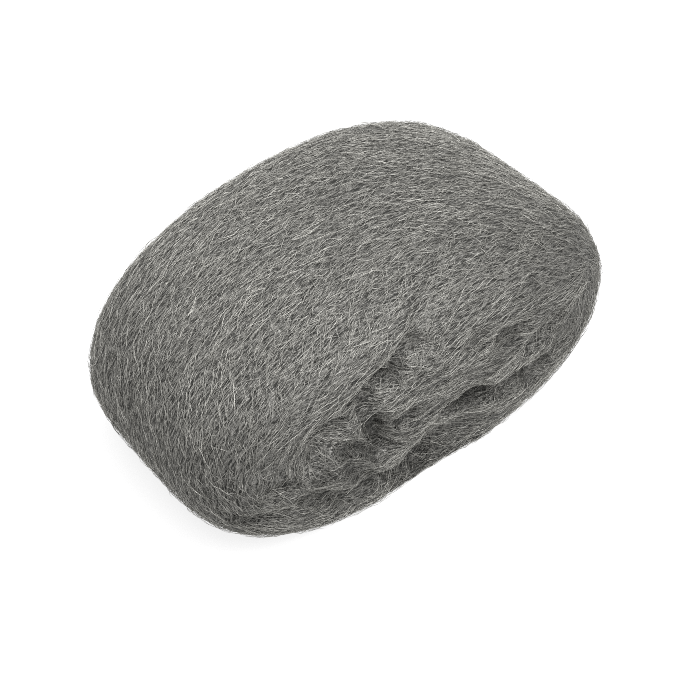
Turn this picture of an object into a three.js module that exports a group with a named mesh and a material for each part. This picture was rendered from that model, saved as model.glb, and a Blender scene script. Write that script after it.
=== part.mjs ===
// Steel wool bundle: one band of fine shaved steel fibres, rolled up and pressed into an oval hand pad.
// Millimetres, +Z up. X is the long way, Y is the axis the band is rolled about.
// The origin is on the flat the pad rests on, under the middle of its overall box.
import * as THREE from 'three';

// Overall size of the pad
const LENGTH = 98.8; // along X, at the middle of the pad's width
const WIDTH = 57.8; // along Y, from one end of the roll to the other
const CROWN = 28; // top of the pad over the roll's axis
const AXIS_HEIGHT = 20.6; // roll's axis over the flat, so the pad has settled 7.4 mm into a flat base
const SECTION_POWER = 2.12; // power of the oval section, where 2 is an ellipse
const END_POWER = 4.4; // power of the turn from the sides into the two ends
const TAPER = 0.042; // the open end (-Y) is longer by this share and the far end shorter

// Creases between the turns at the open end: [x, z] points from the roll's axis, depth and half-width
const OPEN_END_CREASES = [
  { depth: 2.8, reach: 3.2, path: [[-19.6, 12.2], [-14.6, 13], [-9.4, 15.8], [-5.6, 17.2]] },
  { depth: 5.4, reach: 3.0, path: [[-16.4, 11.8], [-12, 14.2]] },
  { depth: 4.6, reach: 3.0, path: [[-16.2, 4.6], [-14.4, 1.6], [-13.1, -2.4], [-12.3, -4.9]] },
  { depth: 2.8, reach: 3.2, path: [[-24, 8.8], [-27, 7.8], [-29.6, 6.4], [-31.3, 3.6]] },
  { depth: 3.0, reach: 3.0, path: [[-1.4, -8], [3.2, -4.8]] },
  { depth: 4.2, reach: 3.0, path: [[3.2, -4.8], [6.8, -4.8], [11.2, -6.4], [19.5, -7.8], [26.8, -8.4]] },
  { depth: 3.4, reach: 3.0, path: [[-36, -3], [-30.9, -7.6], [-24.9, -11.4], [-15.2, -14.2]] },
  { depth: 3.6, reach: 3.0, path: [[-15.2, -14.2], [-9, -16.6], [-1, -18.2]] },
  { depth: 2.0, reach: 3.0, path: [[15, 7.8], [18.8, 6.7], [24, 1], [29.4, 2.1]] },
];

// Swells of wool between those creases: [x, z] centre, height and half-sizes along x and z
const OPEN_END_SWELLS = [
  { height: 1.6, centre: [6, 10], half: [20, 8] },
  { height: 1.2, centre: [-26, 2], half: [10, 4] },
  { height: 1.0, centre: [14, -9], half: [18, 3.5] },
];

// The open end's lower lip is drawn in over its middle: [x, z] centre, depth, half-sizes along x
// and z, and how far it also rises for each millimetre in
const LIP_DENT = { depth: 4, centre: [1.5, -14], half: [10.5, 6], rise: 0.6 };

// Creases of the far end, where the same turns show more evenly
const FAR_END_CREASES = [
  { depth: 2.8, reach: 3.8, path: [[-36, 3], [-20, 12], [0, 15], [22, 11], [34, 2]] },
  { depth: 2.8, reach: 3.8, path: [[-26, -4], [-8, -8], [14, -8], [30, -4]] },
];

// Facets: steps round the roll, then rows over the open end, the sides and the far end
const STEPS_ROUND = 96;
const OPEN_END_ROWS = 22;
const SIDE_ROWS = 10;
const FAR_END_ROWS = 10;

// Distance from a point to the nearest part of a path of straight legs.
function distanceToPath(x, z, path) {
  let nearest = Infinity;
  for (let i = 0; i + 1 < path.length; i += 1) {
    const [x0, z0] = path[i];
    const dx = path[i + 1][0] - x0;
    const dz = path[i + 1][1] - z0;
    const along = ((x - x0) * dx + (z - z0) * dz) / (dx * dx + dz * dz);
    const t = Math.min(Math.max(along, 0), 1);
    nearest = Math.min(nearest, Math.hypot(x - x0 - t * dx, z - z0 - t * dz));
  }
  return nearest;
}

// How far an end is pressed in at (x, z): the deepest crease there, as a rounded valley.
function creaseDepth(x, z, creases) {
  let depth = 0;
  for (const crease of creases) {
    const away = distanceToPath(x, z, crease.path) / crease.reach;
    depth = Math.max(depth, crease.depth * Math.exp(-away * away));
  }
  return depth;
}

// How far an end stands out at (x, z): the sum of its soft round swells.
function swellHeight(x, z, swells) {
  let height = 0;
  for (const { height: top, centre, half } of swells) {
    const across = ((x - centre[0]) / half[0]) ** 2 + ((z - centre[1]) / half[1]) ** 2;
    height += top * Math.exp(-across);
  }
  return height;
}

// Radius of a rounded unit square of the given power in the direction of an angle.
function powerRadius(angle, power) {
  const sum = Math.abs(Math.cos(angle)) ** power + Math.abs(Math.sin(angle)) ** power;
  return sum ** (-1 / power);
}

// Point of the pad's skin: `round` goes about the roll and `over` from the open end to the far end.
function skinPoint(round, over) {
  const profile = powerRadius(over, END_POWER);
  const share = profile * Math.sin(over);
  const across = -profile * Math.cos(over);
  const section = share * powerRadius(round, SECTION_POWER);
  const x = (LENGTH / 2) * (1 - TAPER * across) * section * Math.cos(round);
  const z = CROWN * section * Math.sin(round);
  const open = across < 0;
  const creases = open ? OPEN_END_CREASES : FAR_END_CREASES;
  const swells = open ? OPEN_END_SWELLS : [];
  const inward = creaseDepth(x, z, creases) - swellHeight(x, z, swells);
  const ofEnd = THREE.MathUtils.smoothstep(Math.abs(across), 0.45, 0.85);
  const dent = open ? swellHeight(x, z, [{ ...LIP_DENT, height: LIP_DENT.depth }]) * ofEnd : 0;
  const y = (WIDTH / 2) * across + (open ? 1 : -1) * inward * ofEnd + dent;
  return [x, y, Math.max(z + LIP_DENT.rise * dent, -AXIS_HEIGHT) + AXIS_HEIGHT];
}

// Angles of the rows between the two end centres, closest together over the creased end.
function rowAngles() {
  const quarter = Math.PI / 4;
  const rows = [];
  for (let i = 1; i <= OPEN_END_ROWS; i += 1) rows.push((quarter * i) / OPEN_END_ROWS);
  for (let i = 1; i <= SIDE_ROWS; i += 1) rows.push(quarter + (2 * quarter * i) / SIDE_ROWS);
  for (let i = 1; i < FAR_END_ROWS; i += 1) rows.push(3 * quarter + (quarter * i) / FAR_END_ROWS);
  return rows;
}

// The whole pad as one closed skin, with one point at the centre of each end, moved over the origin.
function padGeometry() {
  const rows = rowAngles();
  const points = [];
  const faces = [];
  for (const over of rows) {
    for (let i = 0; i < STEPS_ROUND; i += 1) {
      points.push(...skinPoint((2 * Math.PI * i) / STEPS_ROUND, over));
    }
  }
  const openCentre = rows.length * STEPS_ROUND;
  const farCentre = openCentre + 1;
  points.push(...skinPoint(0, 0), ...skinPoint(0, Math.PI));
  for (let i = 0; i < STEPS_ROUND; i += 1) {
    const next = (i + 1) % STEPS_ROUND;
    const last = (rows.length - 1) * STEPS_ROUND;
    faces.push(openCentre, i, next);
    faces.push(farCentre, last + next, last + i);
    for (let row = 0; row < last; row += STEPS_ROUND) {
      const above = row + STEPS_ROUND;
      faces.push(row + i, above + i, above + next);
      faces.push(row + i, above + next, row + next);
    }
  }
  const geometry = new THREE.BufferGeometry();
  geometry.setAttribute('position', new THREE.Float32BufferAttribute(points, 3));
  geometry.setIndex(faces);
  geometry.computeBoundingBox();
  const middle = geometry.boundingBox.getCenter(new THREE.Vector3());
  geometry.translate(-middle.x, -middle.y, 0);
  geometry.computeVertexNormals();
  return geometry;
}

const steelWool = new THREE.MeshStandardMaterial({
  color: 0x777672,
  roughness: 0.6,
  metalness: 0.85,
});

const bundle = new THREE.Group();
bundle.name = 'steel_wool_bundle';
const woolPad = new THREE.Mesh(padGeometry(), steelWool);
woolPad.name = 'wool_pad';
bundle.add(woolPad);

export default bundle;
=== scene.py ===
import math

import bpy
import numpy as np
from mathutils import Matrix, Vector


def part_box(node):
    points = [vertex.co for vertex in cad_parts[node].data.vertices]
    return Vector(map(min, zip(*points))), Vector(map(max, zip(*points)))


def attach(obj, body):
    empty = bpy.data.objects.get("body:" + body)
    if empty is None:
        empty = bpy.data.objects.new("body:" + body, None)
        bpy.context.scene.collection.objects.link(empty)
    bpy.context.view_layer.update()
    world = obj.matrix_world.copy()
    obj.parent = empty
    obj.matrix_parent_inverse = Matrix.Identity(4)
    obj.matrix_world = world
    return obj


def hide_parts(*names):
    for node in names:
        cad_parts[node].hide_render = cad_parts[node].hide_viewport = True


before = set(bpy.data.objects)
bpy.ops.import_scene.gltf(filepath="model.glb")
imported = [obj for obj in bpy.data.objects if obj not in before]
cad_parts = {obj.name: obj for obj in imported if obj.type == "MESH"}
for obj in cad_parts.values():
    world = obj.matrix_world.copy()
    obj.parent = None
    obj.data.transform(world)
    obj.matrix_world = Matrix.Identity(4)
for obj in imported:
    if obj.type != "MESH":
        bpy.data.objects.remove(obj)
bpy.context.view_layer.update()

# ---------------------------------------------------------------------------------------------
# The wool pad's body. One band of shaved steel wool is rolled up on itself and pressed into an
# oval pad, so the turns part in creases at the two ends and the base has settled flat.
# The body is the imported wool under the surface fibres, dark because little light gets into it.

MM = 0.001
LENGTH = 98.8 * MM
WIDTH = 57.8 * MM
CROWN = 28 * MM
AXIS_HEIGHT = 20.6 * MM
# Powers of the rounded-square curves of the section and of the end profile, and how much the
# pad's length grows towards the open end.
SECTION_POWER = 2.12
END_POWER = 4.4
TAPER = 0.042

# Creases at the open end, then at the far end: depth, half-width, and [x, z] path from the
# roll's axis, in millimetres.
OPEN_CREASES = [
    (2.8, 3.0, [[-20.4, 11], [-14.8, 12.2], [-9.4, 15.4], [-5.4, 17.6]]),
    (6.6, 2.2, [[-17, 10.6], [-12.4, 13.4]]),
    (4.2, 2.0, [[-12.4, 13.4], [-8, 17]]),
    (1.4, 2.0, [[-7.2, 19.2], [-4.6, 20.3], [-0.5, 22.3]]),
    (5.4, 2.2, [[-16.2, 4.6], [-14.4, 1.6], [-13.1, -2.4], [-12.3, -4.9]]),
    (3.0, 1.8, [[-22.6, 3.1], [-20.4, 0.6], [-17.5, -2.4], [-14.3, -4.1]]),
    (3.6, 3.0, [[-24, 8.8], [-27, 7.8], [-29.6, 6.4], [-31.3, 3.6]]),
    (2.6, 1.8, [[-10.2, 1.7], [-8.1, 1.6]]),
    (3.4, 2.0, [[-1.4, -8], [0.6, -6.4], [3.2, -4.8]]),
    (5.6, 2.5, [[3.2, -5.2], [6.8, -5.2], [11.2, -6.8], [19.5, -8.2], [26.8, -8.8]]),
    (1.8, 2.2, [[26.8, -8.4], [32, -6]]),
    (2.4, 2.0, [[-38, -1.5], [-35, -0.7]]),
    (3.8, 2.8, [[-30.9, -7.6], [-24.9, -11.4], [-19.9, -12.8], [-15.2, -14.2]]),
    (4.0, 2.4, [[-15.2, -14.2], [-9, -16.6], [-1, -18.2]]),
    (2.8, 2.0, [[-28, -3.3], [-23.7, -3.1], [-19.5, -6.2], [-15.6, -11.3]]),
    (2.6, 2.0, [[-43.2, -6.3], [-39.2, -7.9], [-35, -8.1], [-30.9, -8.8], [-26.5, -9.8]]),
    (1.8, 2.2, [[7.1, 11.8], [9.1, 11.1]]),
    (2.4, 2.2, [[15, 7.8], [18.8, 6.7]]),
    (3.0, 2.0, [[24, 0.4], [27.2, 1.4], [29.4, 2.1]]),
]
FAR_CREASES = [
    (3.2, 3.4, [[-36, 3], [-20, 12], [0, 15], [22, 11], [34, 2]]),
    (3.2, 3.4, [[-26, -4], [-8, -8], [14, -8], [30, -4]]),
]
# Swells at the open end: height, [x, z] centre, and half-sizes along x and z, in millimetres.
OPEN_SWELLS = [
    (1.6, [6, 10], [20, 8]),
    (1.2, [-26, 2], [10, 4]),
    (1.0, [14, -9], [18, 3.5]),
]
# The open end's lower lip is drawn in over its middle: depth, centre and half-sizes as above.
# It also rises by this share of the depth.
LIP_DENT = (4.0, [1.5, -14], [10.5, 6])
LIP_RISE = 0.6
# The creases wander off their paths by up to this far, over patches of this size. Their depth
# varies by this share of itself, over patches that are larger by this factor.
RAGGED = 0.9 * MM
RAGGED_PATCH = 3.6 * MM
UNEVEN_SHARE = 0.25
UNEVEN_STRETCH = 1.5
# How far along the noise the wander in z and the uneven depth are read.
Z_WANDER_START, UNEVEN_START = 40, 80
# Creases, swells and the dent fade in from this share of the half-width, over this much of it.
END_FADE_FROM, END_FADE_SPAN = 0.45, 0.4


def power_radius(angle, power):
    """Radius of a rounded unit square: one over the power-th root of |cos|^power + |sin|^power."""
    return (np.abs(np.cos(angle)) ** power + np.abs(np.sin(angle)) ** power) ** (-1 / power)


def smooth_skin(about, over):
    """The pad without creases, from its axis: about is the angle of the oval section, and over
    runs from the open end's centre (0) to the far end's (pi) along a rounded-square profile."""
    profile = power_radius(over, END_POWER)
    across = -profile * np.cos(over)
    section = profile * np.sin(over) * power_radius(about, SECTION_POWER)
    x = LENGTH / 2 * (1 - TAPER * across) * section * np.cos(about)
    return np.stack([x, WIDTH / 2 * across, CROWN * section * np.sin(about)], -1)


def skin_angles(point):
    """The two angles at which a line from the pad's centre through each point meets the skin."""
    across = point[..., 1] / (WIDTH / 2)
    x = point[..., 0] / (LENGTH / 2 * (1 - TAPER * across))
    z = point[..., 2] / CROWN
    about = np.arctan2(z, x)
    return about, np.arctan2(np.hypot(x, z) / power_radius(about, SECTION_POWER), -across)


lumps = np.random.default_rng(11).random((64, 64, 256))


def soft_noise(point):
    """Smooth noise from -1 to 1: a lattice of seeded values, blended by eased weights along
    each of the three axes. The lattice repeats far outside the pad."""
    cell = np.floor(point).astype(int)
    ease = point - cell
    ease = ease**2 * (3 - 2 * ease)
    total = np.zeros(point.shape[:-1])
    for corner in np.ndindex(2, 2, 2):
        weight = np.prod(np.where(corner, ease, 1 - ease), -1)
        index = (cell + corner) % lumps.shape
        total += weight * lumps[index[..., 0], index[..., 1], index[..., 2]]
    return 2 * total - 1


def from_path(x, z, path):
    """Distance of each point from a path of straight legs, and the direction of the nearest leg."""
    nearest = np.full(x.shape, np.inf)
    heading = np.zeros(x.shape + (2,))
    for start, end in zip(np.array(path[:-1]) * MM, np.array(path[1:]) * MM):
        leg = end - start
        t = np.clip(((x - start[0]) * leg[0] + (z - start[1]) * leg[1]) / (leg @ leg), 0, 1)
        away = np.hypot(x - start[0] - t * leg[0], z - start[1] - t * leg[1])
        closer = away < nearest
        nearest = np.where(closer, away, nearest)
        heading[closer] = leg / np.hypot(*leg)
    return nearest, heading


def swell(x, z, swells):
    """Sum of soft round swells: each falls off as the bell curve of x and z over its half-sizes."""
    total = np.zeros(x.shape)
    for height, (cx, cz), (hx, hz) in swells:
        total += height * MM * np.exp(-(((x / MM - cx) / hx) ** 2) - ((z / MM - cz) / hz) ** 2)
    return total


def pressed_in(point):
    """How far the skin is pressed in at each point, and how far of that is the lip's dent: the
    deepest crease of its end as a rounded valley, less the end's swells, and the dent. All of it
    fades out where the end turns into the sides."""
    x, across, z = point[..., 0], point[..., 1] / (WIDTH / 2), point[..., 2]
    torn_x = x + RAGGED * soft_noise(point / RAGGED_PATCH)
    torn_z = z + RAGGED * soft_noise(point / RAGGED_PATCH + Z_WANDER_START)
    uneven = 1 + UNEVEN_SHARE * soft_noise(point / RAGGED_PATCH / UNEVEN_STRETCH + UNEVEN_START)
    ends = []
    for creases, swells in ((OPEN_CREASES, OPEN_SWELLS), (FAR_CREASES, [])):
        inward = np.zeros(x.shape)
        for depth, reach, path in creases:
            away = from_path(torn_x, torn_z, path)[0] / (reach * MM)
            inward = np.maximum(inward, depth * MM * uneven * np.exp(-away**2))
        ends.append(inward - swell(x, z, swells))
    fade = np.clip((np.abs(across) - END_FADE_FROM) / END_FADE_SPAN, 0, 1)
    fade = fade**2 * (3 - 2 * fade)
    dent = np.where(across < 0, swell(x, z, [LIP_DENT]), 0) * fade
    return np.where(across < 0, ends[0], -ends[1]) * fade + dent, dent


# The body is laid in the part's own frame: the flat at z = 0 and the far end at the box's edge.
PAD_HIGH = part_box("wool_pad")[1]
FAR_END_Y = PAD_HIGH[1]
BODY_MIDDLE_Y = FAR_END_Y - WIDTH / 2


def real_skin(point):
    """Each point of the smooth skin moved in or out by the creases, settled onto the flat, and
    put in the part's own frame."""
    x, y, z = np.moveaxis(point, -1, 0)
    inward, dent = pressed_in(point)
    y = y + inward
    z = np.maximum(z + LIP_RISE * dent, -AXIS_HEIGHT) + AXIS_HEIGHT
    return np.stack([x, y + BODY_MIDDLE_Y, z], -1)


# Locks of wool: sizes along x, along z and from end to end, how far along the noise they are
# read, and their share of the whole. From end to end, a radian of the skin counts as LOCK_RADIAN.
LOCK_RADIAN = 30
BROAD_LOCK, BROAD_START, BROAD_SHARE = [11, 11, 2.4], 7.3, 0.6
FINE_LOCK, FINE_START, FINE_SHARE = [5, 5, 0.9], 31.7, 0.4


def locks(point):
    """How the wool bunches into locks, from -1 to 1: noise that is long round the roll, where x
    and z change, and short from end to end, where the skin's second angle does."""
    over = skin_angles(point)[1]
    place = np.stack([point[..., 0] / MM, point[..., 2] / MM, over * LOCK_RADIAN], -1)
    broad = soft_noise(place / BROAD_LOCK + BROAD_START)
    fine = soft_noise(place / FINE_LOCK + FINE_START)
    return BROAD_SHARE * broad + FINE_SHARE * fine


def new_mesh(name, points, triangles):
    """A mesh object at the origin from an array of points and an array of triangles."""
    mesh = bpy.data.meshes.new(name)
    mesh.vertices.add(len(points))
    mesh.vertices.foreach_set("co", points.astype(np.float32).ravel())
    mesh.loops.add(triangles.size)
    mesh.loops.foreach_set("vertex_index", triangles.astype(np.int32).ravel())
    mesh.polygons.add(len(triangles))
    mesh.polygons.foreach_set("loop_start", np.arange(0, triangles.size, 3, dtype=np.int32))
    mesh.update(calc_edges=True)
    piece = bpy.data.objects.new(name, mesh)
    bpy.context.collection.objects.link(piece)
    return piece


class Value:
    """A number socket of a material's nodes, on which + - * and / add Math nodes."""

    def __init__(self, nodes, socket):
        self.nodes, self.socket = nodes, socket

    def _maths(self, operation, first, second):
        return self.nodes.add("Math", {"operation": operation}, {0: first, 1: second})

    def __add__(self, other):
        return self._maths("ADD", self, other)

    def __radd__(self, other):
        return self._maths("ADD", other, self)

    def __sub__(self, other):
        return self._maths("SUBTRACT", self, other)

    def __rsub__(self, other):
        return self._maths("SUBTRACT", other, self)

    def __mul__(self, other):
        return self._maths("MULTIPLY", self, other)

    def __rmul__(self, other):
        return self._maths("MULTIPLY", other, self)

    def __truediv__(self, other):
        return self._maths("DIVIDE", self, other)


class Nodes:
    """The nodes of one new material, with its Principled shader as .shader."""

    def __init__(self, name):
        self.material = bpy.data.materials.new(name)
        self.material.use_nodes = True
        self.tree = self.material.node_tree
        self.shader = self.tree.nodes["Principled BSDF"]

    def add(self, kind, settings, inputs, output=0):
        """Adds a node of a kind, sets it up, feeds its inputs, and gives back one output."""
        node = self.tree.nodes.new("ShaderNode" + kind)
        for key, value in settings.items():
            setattr(node, key, value)
        for key, value in inputs.items():
            self.feed(node.inputs[key], value)
        return Value(self, node.outputs[output])

    def feed(self, socket, value):
        """Links a Value to a socket, or sets the socket to a plain value."""
        if isinstance(value, Value):
            self.tree.links.new(value.socket, socket)
        else:
            socket.default_value = value


BODY_STEPS, BODY_ROWS = 170, 110
BODY_INSET = 0.7 * MM
# The body stays this far over the flat.
BODY_CLEARANCE = 0.3 * MM
LOCK_HEIGHT = 0.15 * MM
# How far the rows gather towards the rims, and how far the first and last points are from the
# axis, both in radians.
ROW_GATHER = 0.12
POLE_ANGLE = 1e-3
# The body's colours are dark with painted shade, for the little light that gets in under the fibres.
DARK_WOOL = (0.03, 0.03, 0.028, 1)
LIT_WOOL = (0.26, 0.255, 0.24, 1)
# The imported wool's noise: its scale, and how much it is squeezed along x, y and z on the sides
# and on the ends, where a smaller number is a longer strand.
STRAND_SCALE = 2900.0
SIDE_SQUEEZE, END_SQUEEZE = (0.22, 1.5, 0.22), (0.22, 0.6, 1.5)
# The ends' strands take over between these shares of the half-width.
ENDS_FROM, ENDS_TO = 0.8, 0.95
# Strands run from dark to light between these values of the noise.
DARK_BELOW, LIGHT_ABOVE = 0.42, 0.72
STRAND_BUMP = 0.5 * MM
DARK_ROUGHNESS, LIGHT_SMOOTHER = 0.65, 0.25
PACKED_METALLIC = 0.9


def unit(vectors):
    """Vectors scaled to a length of one."""
    return vectors / np.maximum(np.linalg.norm(vectors, axis=-1, keepdims=True), 1e-12)


def inward_normal(point):
    """Unit normal of the real skin into the pad, from two short steps round and over it."""
    about, over = skin_angles(point)
    step = 0.004
    round_ = real_skin(smooth_skin(about + step, over)) - real_skin(smooth_skin(about - step, over))
    across = real_skin(smooth_skin(about, over + step)) - real_skin(smooth_skin(about, over - step))
    return unit(np.cross(round_, across))


def wool_body():
    """The skin moved in under the fibres and raised and sunk by the locks, on a closed grid: rings
    about the roll from one end to the other, closer together where the ends turn into the sides,
    with one point at the centre of each end."""
    about = np.linspace(0, 2 * np.pi, BODY_STEPS, endpoint=False)
    over = np.linspace(0, np.pi, BODY_ROWS + 2)[1:-1]
    over = over + ROW_GATHER * np.sin(4 * over)
    smooth = smooth_skin(*np.meshgrid(about, over)).reshape(-1, 3)
    poles = smooth_skin(np.zeros(2), np.array([POLE_ANGLE, np.pi - POLE_ANGLE]))
    smooth = np.concatenate([smooth, poles])
    inward = inward_normal(smooth)
    points = real_skin(smooth) + inward * BODY_INSET
    points -= inward * LOCK_HEIGHT * locks(smooth)[:, None]
    points[:, 2] = np.maximum(points[:, 2], BODY_CLEARANCE)
    row, step = np.meshgrid(np.arange(BODY_ROWS - 1), np.arange(BODY_STEPS), indexing="ij")
    here, there = row * BODY_STEPS + step, row * BODY_STEPS + (step + 1) % BODY_STEPS
    sides = [np.stack([here, here + BODY_STEPS, there + BODY_STEPS], -1)]
    sides += [np.stack([here, there + BODY_STEPS, there], -1)]
    first, after = here[0], there[0]
    last = (BODY_ROWS - 1) * BODY_STEPS
    near = np.stack([np.full(BODY_STEPS, BODY_ROWS * BODY_STEPS), first, after], -1)
    far = np.stack([np.full(BODY_STEPS, BODY_ROWS * BODY_STEPS + 1), after + last, first + last], -1)
    triangles = np.concatenate([s.reshape(-1, 3) for s in sides] + [near, far])
    piece = new_mesh("wool_body", points, triangles)
    piece.data.polygons.foreach_set("use_smooth", np.ones(len(triangles), bool))
    return piece


def packed_wool():
    """Dark packed wool, its darkness painted shade for the little light under the fibres: fine noise
    drawn out along the way the band is wound, which is round the roll on the sides and along the
    pad on the ends, in colour, roughness and bump."""
    nodes = Nodes("packed_wool")
    place = nodes.add("TexCoord", {}, {}, "Object")
    parts = {}
    for part, squeeze in (("sides", SIDE_SQUEEZE), ("ends", END_SQUEEZE)):
        drawn_out = nodes.add("Mapping", {}, {"Vector": place, "Scale": squeeze})
        grain = {"Vector": drawn_out, "Scale": STRAND_SCALE, "Detail": 2.0, "Roughness": 0.7}
        parts[part] = nodes.add("TexNoise", {}, grain)
    level = nodes.add("SeparateXYZ", {}, {"Vector": place}, "Y")
    across = nodes.add("Math", {"operation": "ABSOLUTE"}, {0: level - BODY_MIDDLE_Y}) / (WIDTH / 2)
    on_end = nodes.add(
        "MapRange", {}, {"Value": across, "From Min": ENDS_FROM, "From Max": ENDS_TO}
    )
    strands = parts["sides"] * (1 - on_end) + parts["ends"] * on_end
    light = nodes.add(
        "MapRange", {}, {"Value": strands, "From Min": DARK_BELOW, "From Max": LIGHT_ABOVE}
    )
    tone = nodes.add(
        "Mix", {"data_type": "RGBA"}, {"Factor": light, "A": DARK_WOOL, "B": LIT_WOOL}, "Result"
    )
    bump = nodes.add("Bump", {}, {"Height": strands, "Distance": STRAND_BUMP, "Strength": 1.0})
    nodes.feed(nodes.shader.inputs["Base Color"], tone)
    nodes.feed(nodes.shader.inputs["Roughness"], DARK_ROUGHNESS - LIGHT_SMOOTHER * light)
    nodes.feed(nodes.shader.inputs["Normal"], bump)
    nodes.shader.inputs["Metallic"].default_value = PACKED_METALLIC
    return nodes.material


body = wool_body()
body.data.materials.append(packed_wool())
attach(body, "root")
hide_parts("wool_pad")

# ---------------------------------------------------------------------------------------------
# The fibres. Each is a shaving with a three-sided section, kinked and twisted, that runs about
# the roll with its neighbours, follows the creases at the ends, and dives into the wool at both
# of its own ends. Some lift clear of the pad at one end as loose fuzz.

FIBRE_PIECES = 6
FIBRES_A_PIECE = 6680
STATIONS = 6
FIBRE_STEP = (0.9 * MM, 1.6 * MM)
FIBRE_WIDTH = (0.05 * MM, 0.105 * MM)
SPREAD_DEGREES = 13
WANDER_DEGREES = 10
SIDE_KINK = 0.09 * MM
TWIST = 1.2
HEIGHT_KINK = 0.12 * MM
TOP = -0.15 * MM
DEEPEST = 0.8 * MM
TUCK = 0.3 * MM
LOOSE_SHARE = 0.09
LOOSE_LIFT = 0.5 * MM
# No fibre's centre line comes nearer to the flat than this.
FIBRE_CLEARANCE = 0.15 * MM
# Fibres sit lower by this much of a lock's height, besides rising and sinking with the locks.
LOCK_SINK = 0.5
# Painted shade and light in the fibres' colour: the shade painted on the deepest fibres beside
# the top ones, and the range of a random painted light for each fibre, in place of how it
# catches the lamp.
DEEP_SHADE = 0.25
PAINTED_LIGHT_RANGE = (0.5, 1)
# Fibres start on a grid of this many lines, this far from the axis in radians, and on the base
# they lie only this densely beside the rest.
GRID_LINES = 361
AXIS_GAP = 0.002
BASE_SHARE = 0.6
# The flat layout of a piece: every fibre opened out in a narrow cell of its own, in columns.
LAYOUT_COLUMNS = 40
CELL_MARGIN = 0.02

# On both flanks the winding bows towards the open end, by these angles at the pad's two long ends.
BOW_RIGHT, BOW_LEFT = math.radians(36), math.radians(17)
# The bow is stronger by this share at the far end on the right, and at the open end on the left.
BOW_CHANGE = 0.4
# It fades out from these shares of the half-width on the right and on the left, over BOW_FADE.
BOW_FADE_RIGHT, BOW_FADE_LEFT, BOW_FADE = 0.5, 0.8, 0.25
# Over the open end's upper left shoulder the winding turns by this much more, about this angle of
# the section and this far either side. It sets in from this share of the half-width, over a span.
SHOULDER_TURN, SHOULDER_ABOUT, SHOULDER_WIDTH = math.radians(11), 1.8, 0.6
SHOULDER_FROM, SHOULDER_SPAN = 0.4, 0.3
# The creases' and strands' pull sets in from this share of the half-width, over this much of it.
ENDS_PULL_FROM, ENDS_PULL_SPAN = 0.8, 0.17
# How hard the winding pulls beside them, and a crease's reach as a share of its half-width.
WINDING_PULL = 0.45
CREASE_REACH = 0.7
# Ways the wool lies on the ends between the creases: half-width and [x, z] path in millimetres.
OPEN_STRANDS = [
    (5, [[-37, 3], [-29, 18]]),
    (4, [[-13, 7], [-5, 16], [0, 24]]),
    (5, [[0, 12], [5, 13], [14, 11], [22, 7]]),
    (6, [[-14, -1], [-2, 4], [8, 3], [18, -1]]),
    (5, [[18, 1], [30, 6], [40, 10]]),
    (5, [[-40, -5], [-26, -10], [-8, -13], [12, -12], [30, -9]]),
    (4, [[-28, 8], [-20, 0], [-12, -6]]),
]
FAR_STRANDS = [(12, [[-24, 1], [0, 4], [24, 2]])]


def winding(point):
    """Unit vectors in the smooth skin: round the roll, and from end to end."""
    about, over = skin_angles(point)
    step = 0.002
    round_ = smooth_skin(about + step, over) - smooth_skin(about - step, over)
    across = smooth_skin(about, over + step) - smooth_skin(about, over - step)
    return [v / np.linalg.norm(v, axis=-1, keepdims=True) for v in (round_, across)]


def lay_of_wool(point):
    """Direction of the wool at each point, as an angle from the way round the roll. The winding
    and every crease and strand near by pull on twice the angle, since a fibre has no sense."""
    round_, across = winding(point)
    x, z, open_end = point[..., 0], point[..., 2], point[..., 1] < 0
    level = np.abs(point[..., 1]) / (WIDTH / 2)
    on_end = np.clip((level - ENDS_PULL_FROM) / ENDS_PULL_SPAN, 0, 1)
    about = skin_angles(point)[0]
    right = np.cos(about) > 0
    bow = np.where(right, BOW_RIGHT, BOW_LEFT) * np.cos(about)
    bow *= 1 + np.where(right, BOW_CHANGE, -BOW_CHANGE) * point[..., 1] / (WIDTH / 2)
    bow *= 1 - np.clip((level - np.where(right, BOW_FADE_RIGHT, BOW_FADE_LEFT)) / BOW_FADE, 0, 1)
    shoulder = np.clip((level - SHOULDER_FROM) / SHOULDER_SPAN, 0, 1) * open_end
    bow -= SHOULDER_TURN * shoulder * np.exp(-(((about - SHOULDER_ABOUT) / SHOULDER_WIDTH) ** 2))
    pull = np.stack([np.cos(2 * bow), np.sin(2 * bow)], -1) * WINDING_PULL
    for strands, creases, here in (
        (OPEN_STRANDS, OPEN_CREASES, open_end),
        (FAR_STRANDS, FAR_CREASES, ~open_end),
    ):
        for reach, path in strands + [(CREASE_REACH * reach, path) for _, reach, path in creases]:
            away, heading = from_path(x, z, path)
            level_way = heading[..., :1] * [1.0, 0, 0] + heading[..., 1:] * [0, 0, 1.0]
            angle = np.arctan2((level_way * across).sum(-1), (level_way * round_).sum(-1))
            weight = np.exp(-((away / (reach * MM)) ** 2)) * here * on_end
            pull += weight[..., None] * np.stack([np.cos(2 * angle), np.sin(2 * angle)], -1)
    return np.arctan2(pull[..., 1], pull[..., 0]) / 2


def scattered(count, rng):
    """Points spread evenly over the smooth skin, by drawing cells of a fine grid by their area,
    with fewer on the base."""
    round_lines = np.linspace(0, 2 * np.pi, GRID_LINES)
    about, over = np.meshgrid(round_lines, np.linspace(AXIS_GAP, np.pi - AXIS_GAP, GRID_LINES))
    grid = smooth_skin(about, over)
    along, up = np.diff(grid, axis=1)[:-1], np.diff(grid, axis=0)[:, :-1]
    area = np.linalg.norm(np.cross(along, up), axis=-1)
    area *= np.where(grid[:-1, :-1, 2] < -AXIS_HEIGHT, BASE_SHARE, 1)
    chosen = rng.choice(area.size, count, p=area.ravel() / area.sum())
    row, column = np.unravel_index(chosen, area.shape)
    about = about[0, column] + rng.random(count) * 2 * np.pi / (GRID_LINES - 1)
    over = over[row, 0] + rng.random(count) * (np.pi - 2 * AXIS_GAP) / (GRID_LINES - 1)
    return smooth_skin(about, over)


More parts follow.
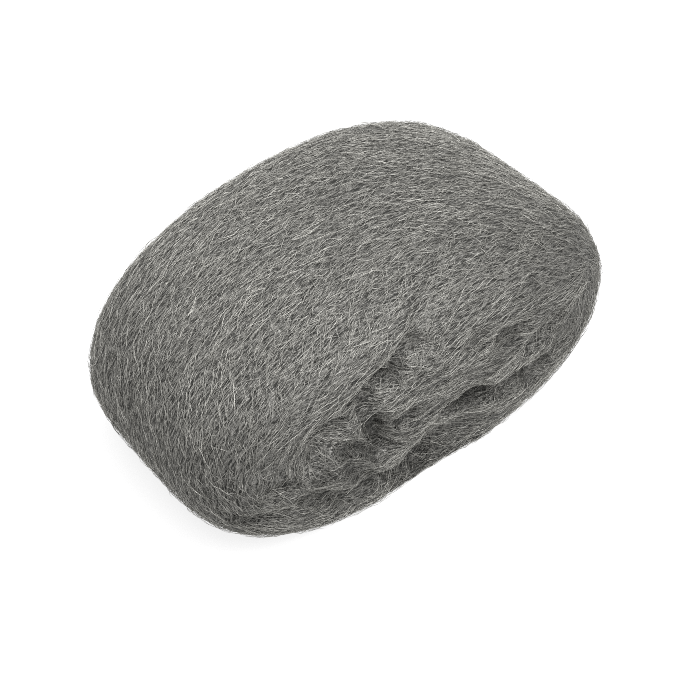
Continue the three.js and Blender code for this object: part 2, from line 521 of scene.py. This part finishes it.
def fibre_lines(count, rng):
    """Centre lines of fibres: steps along the lay of the wool from a scattered point, each turned
    a little by the fibre's own angle and wander."""
    point = scattered(count, rng)
    step = rng.uniform(*FIBRE_STEP, count)[:, None]
    own_turn = np.radians(rng.normal(0, SPREAD_DEGREES, count))
    heading = None
    line = []
    for _ in range(STATIONS):
        line.append(point)
        own_turn = own_turn + np.radians(rng.normal(0, WANDER_DEGREES, count))
        round_, across = winding(point)
        angle = (lay_of_wool(point) + own_turn)[:, None]
        way = np.cos(angle) * round_ + np.sin(angle) * across
        if heading is None:
            heading = way * rng.choice([-1, 1], count)[:, None]
        way = way * np.sign((way * heading).sum(-1, keepdims=True) + 1e-9)
        heading = way
        point = smooth_skin(*skin_angles(point + way * step))
    return np.stack(line, 1)


def fibres(name, count, rng):
    """A piece of many fibres. Each line is set into the wool by its own depth, more at its ends,
    kinked sideways and in height, and carries a twisting three-sided section that ends in points."""
    smooth = fibre_lines(count, rng)
    outward = -inward_normal(smooth)
    along_share = np.linspace(-1, 1, STATIONS)[None, :]
    depth = DEEPEST * rng.random(count)[:, None] + TUCK * along_share**2
    loose = rng.random(count) < LOOSE_SHARE
    lift = LOOSE_LIFT * rng.random(count)[:, None] * (1 - along_share) / 2
    height = TOP + np.where(loose[:, None], lift, -depth)
    height = height + rng.normal(0, HEIGHT_KINK, smooth.shape[:2])
    # How near the top each point lies, from 1 at the top to 0 at the deepest, for the painted shade.
    lit = np.clip(1 + (height - TOP) / (DEEPEST + TUCK), 0, 1)
    height = height + LOCK_HEIGHT * (locks(smooth) - LOCK_SINK)
    line = real_skin(smooth) + outward * height[..., None]
    ahead = unit(np.gradient(line, axis=1))
    line = line + np.cross(ahead, outward) * rng.normal(0, SIDE_KINK, smooth.shape[:2])[..., None]
    line[..., 2] = np.maximum(line[..., 2], FIBRE_CLEARANCE)
    ahead = unit(np.gradient(line, axis=1))
    side = unit(np.cross(ahead, outward))
    up = np.cross(side, ahead)
    turn = rng.uniform(0, 2 * np.pi, (count, 1)) + np.cumsum(rng.normal(0, TWIST, (count, STATIONS)), 1)
    half_width = rng.uniform(*FIBRE_WIDTH, count)[:, None, None] / 2
    corners = []
    for corner in range(3):
        spoke = turn[:, 1:-1, None] + corner * 2 * np.pi / 3
        reach = half_width * (np.cos(spoke) * side[:, 1:-1] + np.sin(spoke) * up[:, 1:-1])
        corners.append(line[:, 1:-1] + reach)
    rings = np.stack(corners, 2).reshape(count, -1, 3)
    points = np.concatenate([line[:, :1], rings, line[:, -1:]], 1)
    triangles, opened = fibre_triangles()
    each = points.shape[1]
    every = (np.arange(count) * each)[:, None, None] + triangles
    piece = new_mesh(name, points.reshape(-1, 3), every.reshape(-1, 3))
    # Painted shade and light: darker the deeper a point lies, times a random painted light per fibre.
    shade = (DEEP_SHADE + (1 - DEEP_SHADE) * lit) * rng.uniform(*PAINTED_LIGHT_RANGE, (count, 1))
    shade = np.concatenate([shade[:, :1], np.repeat(shade[:, 1:-1], 3, 1), shade[:, -1:]], 1)
    shade = shade.astype(np.float32).ravel()
    piece.data.attributes.new("fibre_shade", "FLOAT", "POINT").data.foreach_set("value", shade)
    row, column = np.divmod(np.arange(count), LAYOUT_COLUMNS)
    cell = np.stack([column, row], -1)[:, None, None] + CELL_MARGIN + (1 - 2 * CELL_MARGIN) * opened
    flat = cell / [LAYOUT_COLUMNS, math.ceil(count / LAYOUT_COLUMNS)]
    layout = piece.data.uv_layers.new(name="OFBake")
    layout.data.foreach_set("uv", flat.astype(np.float32).ravel())
    return piece


def fibre_triangles():
    """Triangles of one fibre: a fan at the first point, three strips between rings, and a fan at
    the last point, all facing outwards. With them, where each corner lies when the fibre is
    opened out flat, as shares of its length and girth."""
    rings = STATIONS - 2
    last = 3 * rings + 1
    faces = []
    for side in range(3):
        after = (side + 1) % 3
        here = [(1 + 3 * ring + side, ring + 1, side) for ring in range(rings)]
        there = [(1 + 3 * ring + after, ring + 1, side + 1) for ring in range(rings)]
        faces.append([(0, 0, side + 0.5), there[0], here[0]])
        faces.append([(last, STATIONS - 1, side + 0.5), here[-1], there[-1]])
        for ring in range(rings - 1):
            faces.append([here[ring], there[ring], there[ring + 1]])
            faces.append([here[ring], there[ring + 1], here[ring + 1]])
    faces = np.array(faces)
    return faces[..., 0].astype(int), faces[..., 1:] / [STATIONS - 1, 3]


# The fibres' colour runs between these by painted shade and painted light: dark for deep fibres and for
# those given a low random light, light near the surface.
DULL_SHADED_STEEL = (0.05, 0.05, 0.046, 1)
BRIGHT_LIT_STEEL = (0.45, 0.443, 0.413, 1)
# Patches along a fibre: the noise's scale, and the shine at its lowest and how much it adds.
PATCH_SCALE = 2600.0
PATCH_LOW, PATCH_RISE = 0.55, 0.9
DULL_ROUGHNESS, SHINE_SMOOTHER = 0.68, 0.15


def shaved_steel():
    """Shaved steel fibre: grey metal with painted shade and light, darker the deeper the fibre lies
    and lighter or darker at random for each fibre in place of how it catches the lamp, with patches
    that are duller along its length."""
    nodes = Nodes("shaved_steel")
    painted_light_and_shade = nodes.add("Attribute", {"attribute_name": "fibre_shade"}, {}, "Fac")
    place = nodes.add("TexCoord", {}, {}, "Object")
    patches = nodes.add("TexNoise", {}, {"Vector": place, "Scale": PATCH_SCALE, "Detail": 1.0})
    # Painted shade and light from the fibre's points, made duller in patches.
    shine = painted_light_and_shade * (PATCH_LOW + PATCH_RISE * patches)
    tone = nodes.add(
        "Mix", {"data_type": "RGBA"}, {"Factor": shine, "A": DULL_SHADED_STEEL, "B": BRIGHT_LIT_STEEL}, "Result"
    )
    nodes.feed(nodes.shader.inputs["Base Color"], tone)
    nodes.feed(nodes.shader.inputs["Roughness"], DULL_ROUGHNESS - SHINE_SMOOTHER * shine)
    nodes.shader.inputs["Metallic"].default_value = 1.0
    return nodes.material


fibre_steel = shaved_steel()
for number in range(1, FIBRE_PIECES + 1):
    layer = fibres(f"fibres_{number}", FIBRES_A_PIECE, np.random.default_rng(100 + number))
    layer.data.materials.append(fibre_steel)
    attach(layer, "root")
    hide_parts("wool_pad")

# ---------------------------------------------------------------------------------------------
# The floor: a plain matt sheet that the pad lies on. Most of its white is its own glow, which
# leaves almost no shadow under the pad. It isn't part of the object.

FLOOR_SIZE = 4.0
SHEET_LOOK = {
    "Base Color": (0.15, 0.15, 0.15, 1),
    "Roughness": 0.9,
    "Emission Color": (1, 1, 1, 1),
    "Emission Strength": 0.8,
}
floor_corners = np.array([[-1, -1, 0], [1, -1, 0], [1, 1, 0], [-1, 1, 0]]) * FLOOR_SIZE / 2
floor = new_mesh("floor", floor_corners, np.array([[0, 1, 2], [0, 2, 3]]))
paper = bpy.data.materials.new("floor_paper")
paper.use_nodes = True
for socket, look in SHEET_LOOK.items():
    paper.node_tree.nodes["Principled BSDF"].inputs[socket].default_value = look
floor.data.materials.append(paper)

# ---------------------------------------------------------------------------------------------
# Light and camera: a wide soft light over the pad, a pale surround, and a long lens that looks
# down at the open end and the left side.

CENTRE = Vector((0, BODY_MIDDLE_Y, AXIS_HEIGHT))
CAMERA_AZIMUTH, CAMERA_ELEVATION = math.radians(-39.5), math.radians(45)
CAMERA_DISTANCE = 0.525
LENS = 140.7
AIM_RIGHT, AIM_UP = 1.2 * MM, -5.7 * MM
LIGHT_PLACE = Vector((0.04, -0.26, 0.78))
LIGHT_SIZE, LIGHT_POWER = 1.0, 22
SURROUND_STRENGTH = 1.0


def add_light(name, place, size, power, aim):
    """A square soft light at a place, aimed at a point."""
    data = bpy.data.lights.new(name, "AREA")
    data.size, data.energy = size, power
    lamp = bpy.data.objects.new(name, data)
    lamp.location = place
    lamp.rotation_mode = "QUATERNION"
    lamp.rotation_quaternion = (aim - lamp.location).to_track_quat("-Z", "Y")
    bpy.context.collection.objects.link(lamp)


add_light("overhead", LIGHT_PLACE, LIGHT_SIZE, LIGHT_POWER, CENTRE)

scene = bpy.context.scene
world = bpy.data.worlds.new("surround")
world.use_nodes = True
world.node_tree.nodes["Background"].inputs["Color"].default_value = (1, 1, 1, 1)
world.node_tree.nodes["Background"].inputs["Strength"].default_value = SURROUND_STRENGTH
scene.world = world
scene.view_settings.view_transform = "Standard"
scene.cycles.filter_width = 1.0
scene.cycles.use_denoising = False

back = Vector((
    math.sin(CAMERA_AZIMUTH) * math.cos(CAMERA_ELEVATION),
    -math.cos(CAMERA_AZIMUTH) * math.cos(CAMERA_ELEVATION),
    math.sin(CAMERA_ELEVATION),
))
right = Vector((0, 0, 1)).cross(back).normalized()
up = back.cross(right)
camera = bpy.data.objects.new("camera", bpy.data.cameras.new("camera"))
camera.data.lens = LENS
camera.location = CENTRE + right * AIM_RIGHT + up * AIM_UP + back * CAMERA_DISTANCE
camera.rotation_mode = "QUATERNION"
camera.rotation_quaternion = back.to_track_quat("Z", "Y")
bpy.context.collection.objects.link(camera)
scene.camera = camera
